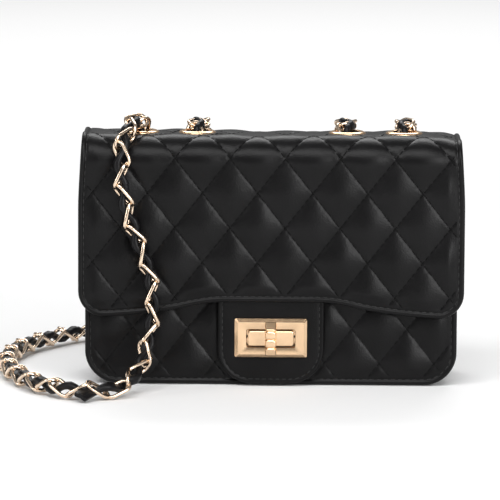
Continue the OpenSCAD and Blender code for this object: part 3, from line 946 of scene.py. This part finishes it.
def u_half(z, half, low, radius):
    """Half the width at z of an outline with round lower corners."""
    return half - quarter(low + radius - z, radius)


def u_edge_distance(x, z, half, low, radius, top=None):
    """Distance to the edge of such an outline, which is open above when top is None."""
    a = np.abs(x)
    plain = np.minimum(half - a, z - low)
    if top is not None:
        plain = np.minimum(plain, top - z)
    corner = (a > half - radius) & (z < low + radius)
    away = radius - np.hypot(a - half + radius, z - low - radius)
    return np.clip(np.where(corner, away, plain), 0, None)


def upright_sheet(name, material, face_y, thick, offset, top, half, low, radius, facing=-1,
                  keep=None, back=None):
    """A sheet that stands in the XZ plane; facing is -1 when its face looks to the front."""
    across = (grid_lines(2 * half) - half) / half
    up = low + grid_lines(top - low)
    z = np.repeat(up[:, None], len(across), 1)
    x = across[None, :] * u_half(z, half, low, radius)
    outer = np.stack([x, face_y + facing * offset(x, z), z], -1)
    under = back(x, z) if back else 0 * x
    inner = np.stack([x, face_y - facing * (thick + under), z], -1)
    cells = keep(cell_middles(x), cell_middles(z)) if keep else None
    return closed_sheet(name, outer, inner, material, cells)


def u_path(inset, top, half, low, radius):
    """Points of the line at inset from a round-cornered outline, from top to top."""
    w, b, r = half - inset, low + inset, radius - inset
    a = np.linspace(0, math.pi / 2, 20)
    down = np.linspace(top, low + radius, 80)
    x = np.linspace(w - r, 0, 60)
    right = np.concatenate([
        np.stack([w + 0 * down, down], 1),
        np.stack([w - r + r * np.cos(a), b + r - r * np.sin(a)], 1)[1:],
        np.stack([x, b + 0 * x], 1)[1:],
    ])
    return np.concatenate([right, right[::-1][1:] * (-1, 1)])


def on_face(line, face_y, facing, offset):
    """Points and directions on an upright sheet's face along a line of (x, z)."""
    x, z = line[:, 0], line[:, 1]
    points = np.stack([x, face_y + facing * offset(x, z), z], 1)
    return points, np.tile([0.0, facing, 0.0], (len(x), 1))


def box_distance(x, z, half_x, half_z, centre_z):
    """Distance outside a rectangle, zero inside it."""
    return np.hypot(np.clip(np.abs(x) - half_x, 0, None),
                    np.clip(np.abs(z - centre_z) - half_z, 0, None))


# ---- body

def front_offset(x, z):
    """How far the front panel's leather stands out; it is pressed flat round the lock."""
    edge = u_edge_distance(x, z, top=PANEL_TOP + 8, **PANEL)
    open_face = smoothstep(box_distance(x, z, 24, 36, 28) / 9)
    rise = PANEL_PAD_RISE + PANEL_OPEN_PAD * open_face
    soft = quilted_offset(x, z, PANEL_LATTICE, edge, PANEL_LOW_PAD, rise)
    flat = smoothstep(box_distance(x, z, 20.5, 11.5, LOCK_Z) / 5)
    soft = soft * flat - 0.25 * (1 - flat)
    under_boss = (np.abs(x) < 16.2) & (np.abs(z - LOCK_Z) < 6.7)
    soft = np.where(under_boss, -1.32, soft)
    return soft + waves_over(x, z) * smoothstep((edge - 2) / 6) * flat


def front_panel():
    """The quilted front panel with its stitches."""
    def wanted(x, z):
        inside = (u_edge_distance(x, z, **PANEL) > QUILT_MARGIN) & (z < PANEL_TOP - 1)
        return inside & (box_distance(x, z, 21, 12, LOCK_Z) > 3)

    panel = upright_sheet("quilted_front", QUILTED, FRONT_Y, PANEL_THICKNESS, front_offset,
                          PANEL_TOP, **PANEL)
    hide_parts("front_panel", "front_rim")
    lines = quilt_lines(PANEL_LATTICE, (-BODY_HALF, BODY_HALF), (0, PANEL_TOP), wanted)
    lines = [on_face(np.stack(line, 1), FRONT_Y, -1, front_offset) for line in lines]
    quilting = stitches("front_quilting", lines, THREAD, STITCH_PITCH, sunk=0.06, wide=0.6,
                        length=0.94)
    edge = u_path(SEAM_INSET, PANEL_TOP - 1, **PANEL)
    seam = stitches("front_seam", [on_face(edge, FRONT_Y, -1, front_offset)],
                    EDGE_THREAD, SEAM_PITCH, sunk=0.05, wide=0.55)
    for piece in (panel, quilting, seam):
        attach(piece, "bag")


def strip_path(half, low, top, radius, step):
    """Points and outward directions round the two sides and the bottom."""
    r = radius
    up = np.linspace(top, low + r, int((top - low - r) / step))
    a = np.linspace(0, math.pi / 2, 16)
    flat = np.linspace(half - r, 0, int((half - r) / step))
    right = np.concatenate([
        np.stack([half + 0 * up, up, 1 + 0 * up, 0 * up], 1),
        np.stack([half - r + r * np.cos(a), low + r - r * np.sin(a), np.cos(a), -np.sin(a)], 1)[1:],
        np.stack([flat, low + 0 * flat, 0 * flat, -1 + 0 * flat], 1)[1:],
    ])
    return np.concatenate([right, right[::-1][1:] * (-1, 1, -1, 1)])


def u_strip(name, material, half, low, radius, front, back, thick, soft):
    """A strip of leather or cloth round the sides and the bottom."""
    line = strip_path(half, low, PANEL_TOP, radius, 2.2)
    y = np.linspace(front, back, 34)
    x, z = line[:, 0][:, None], line[:, 1][:, None]
    nx, nz = line[:, 2][:, None], line[:, 3][:, None]
    share = (y - front) / (back - front)
    bow = -1.3 * np.sin(math.pi * share)[None, :] * np.abs(nx) * smoothstep((z - 16) / 30)
    bow = bow * (0.8 + 0.2 * np.sin(z * 0.09))
    out = bow + soft(share)[None, :]
    blank = np.zeros((len(line), len(y)))
    outer = np.stack([x + nx * out, blank + y[None, :], z + nz * out], -1)
    under = bow - thick
    inner = np.stack([x + nx * under, blank + y[None, :], z + nz * under], -1)
    outer[..., 2] = np.maximum(outer[..., 2], 0)
    return closed_sheet(name, outer, inner, material)


def gussets():
    """The leather round the sides and the bottom, and the cloth inside it."""
    def soft(share):
        near = np.minimum(share, 1 - share) * 50
        return -0.5 * np.exp(-((near - 2.2) / 0.7) ** 2) - 0.3 * np.exp(-near / 0.8)

    def plain(share):
        return 0 * share

    strip = u_strip("gusset", SMOOTH, GUSSET_HALF, 0, CORNER_R, *GUSSET_Y, 2.0, soft)
    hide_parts("side_gusset_left", "side_gusset_right", "bottom_panel")
    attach(strip, "bag")
    lining = u_strip("gusset_cloth", LINING, GUSSET_HALF - 2, 3.6, CORNER_R - 2,
                     *GUSSET_CLOTH_Y, LINING_THICKNESS, plain)
    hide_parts("gusset_lining")
    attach(lining, "bag")


def wall_linings():
    """The cloth on the inside of the front and the back panel."""
    def soft(x, z):
        slack = smoothstep(u_edge_distance(x, z, top=PANEL_TOP, **WALL_LINING) / 25)
        return slack * (0.25 * np.sin(x * 0.07 + 1) * np.sin(z * 0.05) + 0.25)

    for name, node, y, facing in (("front_cloth", "front_lining", FRONT_LINING_Y, 1),
                                  ("back_cloth", "back_lining", BACK_LINING_Y, -1)):
        sheet = upright_sheet(name, LINING, y, LINING_THICKNESS, soft, PANEL_TOP,
                              facing=facing, **WALL_LINING)
        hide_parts(node)
        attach(sheet, "bag")


def slip_pocket():
    """A pocket on the back lining, sewn on three sides, with a hem at its open top."""
    hem_z = POCKET_TOP - 8.6

    def gape(x, z):
        return 1.2 * smoothstep((z - 78) / 24) * smoothstep((POCKET["half"] - np.abs(x)) / 30)

    def front(x, z):
        edge = u_edge_distance(x, z, top=POCKET_TOP, **POCKET)
        hem = 0.35 * smoothstep((z - hem_z - 0.1) / 0.7)
        rim = border(edge, POCKET_SEAM_INSET, 0.1, 0.25) * 0.5
        return gape(x, z) + hem + 0.45 * smoothstep(edge / 6) + rim

    def back(x, z):
        return -gape(x, z) - 0.2

    pocket = upright_sheet("slip_pocket_cloth", LINING, POCKET_Y, LINING_THICKNESS, front,
                           POCKET_TOP, back=back, **POCKET)
    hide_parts("slip_pocket")
    hem_x = np.linspace(-57, 57, 90)
    lines = [u_path(POCKET_SEAM_INSET, POCKET_TOP, **POCKET),
             np.stack([hem_x, np.full(len(hem_x), hem_z)], 1)]
    seam = stitches("pocket_seam", [on_face(line, POCKET_Y, -1, front) for line in lines],
                    EDGE_THREAD, 3.0, sunk=0.0, wide=0.45)
    for piece in (pocket, seam):
        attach(piece, "bag")


def mouth_binding():
    """The turned edge over the front and the two sides of the mouth."""
    inside = WALL_LINING["half"]
    corner = ((GUSSET_HALF, -20.6, inside), (99.1, -22.1, 96.5), (97.9, -22.9, 96.0),
              (96.5, FRONT_Y, 95.4))
    right = [((GUSSET_HALF, y), (inside, y)) for y in np.linspace(31, -17, 30)]
    right += [((x, y), (inner_x, FRONT_LINING_Y)) for x, y, inner_x in corner]
    line = right + [((x, FRONT_Y), (x, FRONT_LINING_Y)) for x in np.linspace(94, -94, 90)]
    line += [((-a[0], a[1]), (-b[0], b[1])) for a, b in reversed(right)]
    section = [squarish(a, 0.45) for a in circle_angles(20)]
    points = []
    for outer, inner in np.array(line, float):
        centre, half = (outer + inner) / 2, (outer - inner) / 2
        points += [(*(centre + half * c), BINDING_Z + BINDING_HALF_HEIGHT * d)
                   for c, d in section]
    binding = make_object("binding", points, tube_faces(len(line), len(section)), SMOOTH)
    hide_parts("mouth_binding")
    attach(binding, "bag")


# ---- flap's inside and tongue

def flap_lining():
    """The smooth leather on the inside of the flap and the fold."""
    half = FLAP_HALF - LINING_INSET
    across = grid_lines(2 * half) - half
    low = flap_edge(across / half * FLAP_HALF) + LINING_INSET
    front = grid_lines(S_ROLL - FLAP_LOW, last=False)[::2] / (S_ROLL - FLAP_LOW)
    front[-1] = 1
    rear = np.linspace(S_ROLL, S_BACK + 2.3, 70)[1:]
    s = np.concatenate([low[None, :] + (S_ROLL - low[None, :]) * front[:, None],
                        np.repeat(rear[:, None], len(across), 1)])
    x = across[None, :] / half * (shell_half(s) - LINING_INSET)
    edge = np.clip(shell_edge_distance(x, s) - LINING_INSET, 0, None)
    seam = 0.25 * np.exp(-((edge - 2) / 0.7) ** 2)
    outer = shell_points(x, s, -(SHELL_THICKNESS + 0.03))
    inner = shell_points(x, s, seam - (SHELL_THICKNESS + LINING_THICKNESS))
    lining = closed_sheet("flap_inside", outer, inner, INNER, outside_eyelets(x, s))
    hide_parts("flap_lining")
    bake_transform(lining)


def tongue_offset(x, z):
    """How far the tongue's leather stands out; the plate presses it in."""
    edge = u_edge_distance(x, z, top=TONGUE_TOP + 8, **TONGUE)
    press = smoothstep(box_distance(x, z, 19.2, 10.2, LOCK_Z) / 2.2)
    soft = 0.18 * smoothstep((edge - TONGUE_SEAM_INSET) / 4) * press - 0.12 * (1 - press)
    uneven = 0.06 * np.sin(x * 0.16) * np.sin(z * 0.13)
    return soft + border(edge, TONGUE_SEAM_INSET, 0.12, 0.35) + uneven


def window_cut(x, z):
    """Which cells lie outside the lock's window."""
    return ~((np.abs(x) < 13.3) & (np.abs(z - LOCK_Z) < 4.95))


def tongue():
    """The tongue that hangs below the flap, its lining and its seam."""
    def back_soft(x, z):
        edge = u_edge_distance(x, z, top=TONGUE_TOP + 8, **TONGUE)
        return border(edge, TONGUE_SEAM_INSET, 0.0, 0.2) * 0.5

    leather_sheet = upright_sheet("tongue_leather", SMOOTH, TONGUE_Y, 2.0, tongue_offset,
                                  TONGUE_TOP, keep=window_cut, **TONGUE)
    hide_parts("tongue")
    backing = upright_sheet("tongue_inside", INNER, TONGUE_LINING_Y, LINING_THICKNESS, back_soft,
                            TONGUE_TOP, facing=1, keep=window_cut, **TONGUE)
    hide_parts("tongue_lining")
    line = u_path(TONGUE_SEAM_INSET, TONGUE_TOP - 16, **TONGUE)
    seam = stitches("tongue_seam", [on_face(line, TONGUE_Y, -1, tongue_offset)],
                    EDGE_THREAD, 3.6, sunk=0.03, wide=0.5)
    for piece in (leather_sheet, backing, seam):
        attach(piece, "flap")


# ---- metal

def rounded_loop(w, h, r, y):
    """Points round a rectangle with round corners, at y, centred on the lock."""
    points = []
    for cx, cz, start in ((1, 1, 0), (-1, 1, 90), (-1, -1, 180), (1, -1, 270)):
        for a in np.radians(np.linspace(start, start + 90, 7)):
            points.append((cx * (w / 2 - r) + r * math.cos(a), y,
                           LOCK_Z + cz * (h / 2 - r) + r * math.sin(a)))
    return points


def lofted(name, loops, material, closed=False, angle=20):
    """A solid through loops with the same number of points; steeper edges stay sharp."""
    points = [p for loop in loops for p in loop]
    obj = make_object(name, points, tube_faces(len(loops), len(loops[0]), closed), material)
    obj.data.set_sharp_from_angle(angle=math.radians(angle))
    return obj


# Width, height, corner radius and Y of the rounded rectangles that shape the lock's parts
PLATE_RINGS = ((26.4, 9.7, 1.2, -26.85), (39.2, 21.1, 1.0, -26.85), (39.5, 21.4, 1.1, -27.0),
               (39.5, 21.4, 1.1, -27.6), (39.4, 21.3, 1.0, -27.75), (35.8, 17.7, 0.5, -29.6),
               (27.5, 10.8, 1.5, -29.6), (26.9, 10.2, 1.3, -29.5), (26.5, 9.8, 1.2, -29.1))
BASE_RINGS = ((33.6, 14.6, 1.0, -21.8), (34.0, 15.0, 1.2, -22.0), (34.0, 15.0, 1.2, -22.7),
              (33.4, 14.4, 1.0, -23.0), (24.8, 8.2, 1.2, -23.0), (24.8, 8.2, 1.2, -29.5),
              (24.5, 7.9, 1.1, -29.85), (23.9, 7.3, 0.9, -30.0))


def lock_plate():
    """The bevelled plate with its window, on the tongue."""
    plate = lofted("plate", [rounded_loop(*ring) for ring in PLATE_RINGS], GOLD, closed=True)
    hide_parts("lock_plate")
    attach(plate, "flap")


def lock_base():
    """The flange and the boss that fills the plate's window."""
    base = lofted("base", [rounded_loop(*ring) for ring in BASE_RINGS], GOLD)
    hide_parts("lock_base")
    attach(base, "bag")


KNOB_HALF_LENGTH = 9.15
KNOB_HALF_WIDTH = 3.05
KNOB_FRONT_Y = -35.0
KNOB_BACK_Y = -30.5
KNOB_BEADS = 4
NECK_WIDTH = 0.52  # a groove between two beads


def turn_knob():
    """A bar of four beads whose two ends slope back."""
    loops = []
    bead = 2 * KNOB_HALF_LENGTH / KNOB_BEADS
    for z in np.linspace(-KNOB_HALF_LENGTH, KNOB_HALF_LENGTH, 97):
        into = KNOB_HALF_LENGTH - abs(z)
        phase = (z + KNOB_HALF_LENGTH) / bead
        t = abs(phase - round(phase)) * bead
        between = 0.5 < phase < KNOB_BEADS - 0.5
        neck = math.exp(-(t / NECK_WIDTH) ** 2) if between else 0.0
        slope = min(into / 3.7, 1.0)
        width = KNOB_HALF_WIDTH * (1 - 0.27 * neck) * (0.90 + 0.10 * min(into / 1.2, 1))
        front = KNOB_FRONT_Y + 3.8 * (1 - slope) + 0.6 * neck
        back = KNOB_BACK_Y - 0.3 * neck
        middle, half = (front + back) / 2, (back - front) / 2
        section = [squarish(a, 0.55) for a in circle_angles(28)]
        loops.append([(width * c, middle + half * d, LOCK_Z + z) for c, d in section])
    knob = lofted("knob_bar", loops, GOLD, angle=50)
    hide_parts("turn_knob")
    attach(knob, "knob")


# Radius and height round an eyelet's ring
EYELET_PROFILE = ((6.0, 130.4), (5.92, 131.0), (5.9, 135.6), (6.05, 136.4), (6.6, 137.0),
                  (7.5, 137.2), (8.7, 137.0), (9.7, 136.55), (10.15, 136.1), (10.2, 135.9),
                  (9.9, 135.75), (6.6, 135.75), (6.5, 135.4), (6.5, 130.4))


def eyelets():
    for x, side in zip(EYELETS_X, ("left_outer", "left_inner", "right_inner", "right_outer")):
        loops = [[(x + r * math.cos(a), r * math.sin(a), z) for r, z in EYELET_PROFILE]
                 for a in circle_angles(56)]
        ring = lofted("ring_" + side, loops, GOLD, closed=True, angle=60)
        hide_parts("eyelet_" + side)
        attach(ring, "flap")


FITTINGS = ("eyelet_washers", "lock_backing", "lock_rivets", "lock_plate_backing",
            "lock_plate_rivets", "knob_shaft", "knob_clip")


def keep_node(name, material):
    """A CAD node that keeps its shape and only gets a material."""
    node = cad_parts[name]
    node.data.materials.clear()
    node.data.materials.append(material)


def plain_nodes():
    """Hidden fittings and the stiff board keep their CAD shape."""
    for name in FITTINGS:
        keep_node(name, STEEL)
    keep_node("base_board", BOARD)


build_strap()
quilted_shell()
shell_threads()
front_panel()
gussets()
wall_linings()
slip_pocket()
mouth_binding()
flap_lining()
tongue()
lock_plate()
lock_base()
turn_knob()
eyelets()
plain_nodes()


# ---- floor and light

FLOOR_HALF = 6.0  # in metres, as are all places and sizes below
FLOOR_Z = -0.0004
WORLD_STRENGTH = 0.23
# Name, place, what it looks at, width, height and power
LIGHTS = (
    ("key", (-0.15, -1.15, 1.62), (0, 0, 0.08), 2.0, 1.0, 30),
    ("left", (-1.7, -0.7, 0.6), (0, 0, 0.06), 0.7, 0.7, 7),
    ("right", (1.15, -1.5, 0.62), (0.05, 0, 0.06), 0.9, 0.9, 21),
    ("behind", (0.0, 1.9, 1.9), (0, 1.0, 0.0), 2.0, 1.0, 34),
)


def add_floor():
    floor_mesh = bpy.data.meshes.new("floor")
    corners = [(x * FLOOR_HALF, y * FLOOR_HALF, FLOOR_Z)
               for x, y in ((-1, -1), (1, -1), (1, 1), (-1, 1))]
    floor_mesh.from_pydata(corners, [], [(0, 1, 2, 3)])
    m = Nodes("pale_floor")
    m.set(Base_Color=m.ramp(m.noise(0.7, 2), grey(0.92), grey(0.94)), Roughness=0.9,
          Specular_IOR_Level=0.1)
    floor_mesh.materials.append(m.material)
    add_object("floor", floor_mesh)


def add_light(name, place, target, width, height, power):
    data = bpy.data.lights.new(name, "AREA")
    data.shape = "RECTANGLE"
    data.size = width
    data.size_y = height
    data.energy = power
    light = add_object(name, data)
    light.location = place
    aim = Vector(target) - Vector(place)
    light.rotation_euler = aim.to_track_quat("-Z", "Y").to_euler()


def add_world(strength):
    world = bpy.data.worlds.new("studio")
    world.use_nodes = True
    background = world.node_tree.nodes["Background"]
    background.inputs["Color"].default_value = (1, 1, 1, 1)
    background.inputs["Strength"].default_value = strength
    bpy.context.scene.world = world


add_floor()
add_world(WORLD_STRENGTH)
for light in LIGHTS:
    add_light(*light)
bpy.context.scene.view_settings.view_transform = "Standard"
